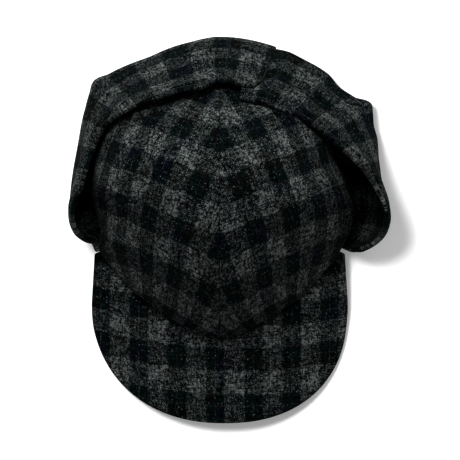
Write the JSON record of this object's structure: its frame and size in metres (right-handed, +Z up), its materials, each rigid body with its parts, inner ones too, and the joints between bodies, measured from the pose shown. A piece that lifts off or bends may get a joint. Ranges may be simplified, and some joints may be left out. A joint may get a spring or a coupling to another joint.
{
  "type": "earflap cap",
  "caption": "Soft plaid wool cap: domed two-piece crown, stiff curved peak, and earflaps turned up round the sides and back, one lapping over the other.",
  "frame": {"origin": "on the floor that the cap rests on, under the middle of its overall length and width", "axes": "+Z up, -Y the way the peak points, +X to the right of a wearer who looks along +Y; longest side along Y, shortest along Z"},
  "size_m": [0.228, 0.279, 0.104],
  "materials": {
    "crown_wool": "napped wool flannel in a charcoal and black plaid",
    "peak_wool": "the same wool drawn tight over a stiff board",
    "flap_wool": "double wool with the plaid turned along the band and a stitched edge"
  },
  "bodies": {
    "root": {"crown_left": "crown_wool", "crown_right": "crown_wool", "peak": "peak_wool", "earflap_left": "flap_wool", "earflap_right": "flap_wool"}
  },
  "joints": []
}
